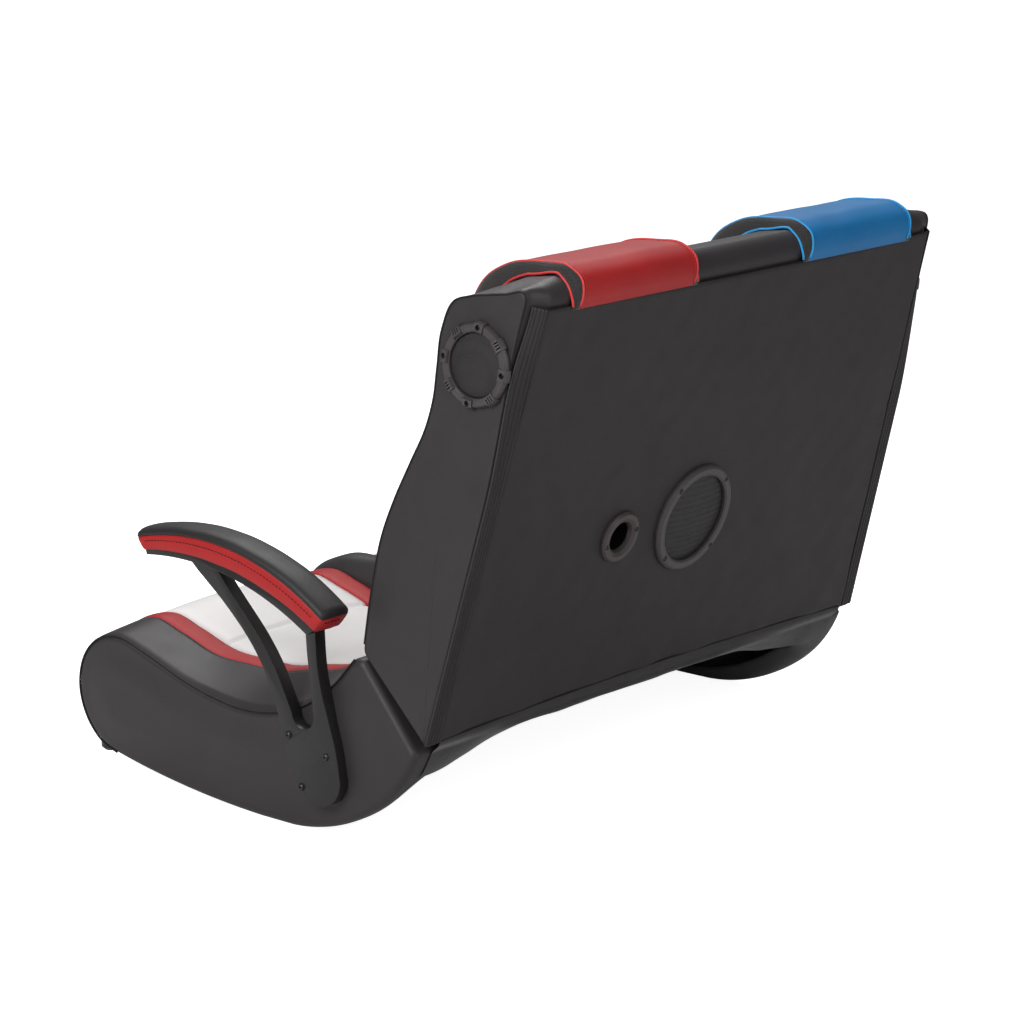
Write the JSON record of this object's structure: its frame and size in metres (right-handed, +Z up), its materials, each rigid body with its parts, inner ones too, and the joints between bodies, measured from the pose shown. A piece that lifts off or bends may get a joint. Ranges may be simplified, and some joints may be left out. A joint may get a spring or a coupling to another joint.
{
  "type": "gaming rocker chair",
  "caption": "Wide floor rocker seat for gaming with a folding backrest, arms, headrests, side speakers and a rear bass speaker.",
  "frame": {"origin": "centre of the bounding box on the floor plane that the rockers rest on", "axes": "+X to the sitter's left, +Y to the rear, +Z up"},
  "size_m": [1.21, 0.9564, 0.9086],
  "materials": {
    "black_leather": "satin",
    "foam": "matte",
    "white_leather": "satin",
    "red_leather": "satin",
    "blue_leather": "satin",
    "red_pad": "satin",
    "blue_pad": "satin",
    "black_pad": "satin",
    "mesh_fabric": "matte",
    "flap_cloth": "satin",
    "board": "matte",
    "black_plastic": "satin",
    "black_steel": "satin",
    "housing_alloy": "satin"
  },
  "bodies": {
    "seat": {"end_boards": "board", "rear_rail": "board", "middle_rail": "board", "front_tube": "black_steel", "seat_core": "foam", "amplifier": "housing_alloy", "seat_white_left": "white_leather", "seat_white_right": "white_leather", "seat_stripes_left": "red_leather", "seat_stripes_right": "blue_leather", "seat_divider": "black_leather", "underside_cloth": "mesh_fabric", "front_feet": "black_plastic", "end_block_left": "black_leather", "end_block_right": "black_leather", "arm_frame_left": "black_plastic", "arm_frame_right": "black_plastic", "arm_band_left": "red_pad", "arm_band_right": "blue_pad", "arm_top_left": "black_pad", "arm_top_right": "black_pad", "arm_screws": "black_steel", "arm_nuts": "black_steel", "seat_hinge_leaves": "black_steel", "hinge_pins": "black_steel", "control_panel": "black_plastic"},
    "backrest": {"back_hinge_leaves": "black_steel", "back_side_left": "black_leather", "back_side_right": "black_leather", "back_boards": "board", "back_top_rail": "board", "back_bottom_rail": "board", "back_core": "foam", "headrest_left": "red_pad", "headrest_right": "blue_pad", "headrest_mesh": "mesh_fabric", "back_white_left": "white_leather", "back_white_right": "white_leather", "back_stripes_left": "red_leather", "back_stripes_right": "blue_leather", "back_divider": "black_leather", "subwoofer_box": "board", "subwoofer_ring": "black_plastic", "subwoofer_driver": "housing_alloy", "subwoofer_grille": "black_steel", "port_tube": "black_plastic", "bass_screws": "black_steel", "rear_cover": "black_leather", "rear_board": "board", "edge_strips": "black_leather", "back_flap": "flap_cloth", "speaker_ring_left": "black_plastic", "speaker_ring_right": "black_plastic", "speaker_grilles": "black_steel", "speaker_drivers": "housing_alloy", "speaker_screws": "black_steel"},
    "volume_knob": {"volume_knob": "black_plastic"},
    "bass_knob": {"bass_knob": "black_plastic"},
    "power_button": {"power_button": "black_plastic"}
  },
  "joints": [
    {"name": "backrest_fold", "type": "hinge", "parent": "seat", "child": "backrest", "pos_m": [0, 0.15407, 0.303], "axis": [1, 0, 0], "range_deg": [0, 105]},
    {"name": "volume_turn", "type": "hinge", "parent": "seat", "child": "volume_knob", "pos_m": [-0.554, -0.31443, 0.122], "axis": [-1, 0, 0], "range_deg": [0, 300]},
    {"name": "bass_turn", "type": "hinge", "parent": "seat", "child": "bass_knob", "pos_m": [-0.554, -0.28743, 0.122], "axis": [-1, 0, 0], "range_deg": [0, 300]},
    {"name": "power_press", "type": "slide", "parent": "seat", "child": "power_button", "axis": [1, 0, 0], "range_m": [0, 0.002], "stiffness_N_per_m": 400, "springref_m": -0.001}
  ]
}
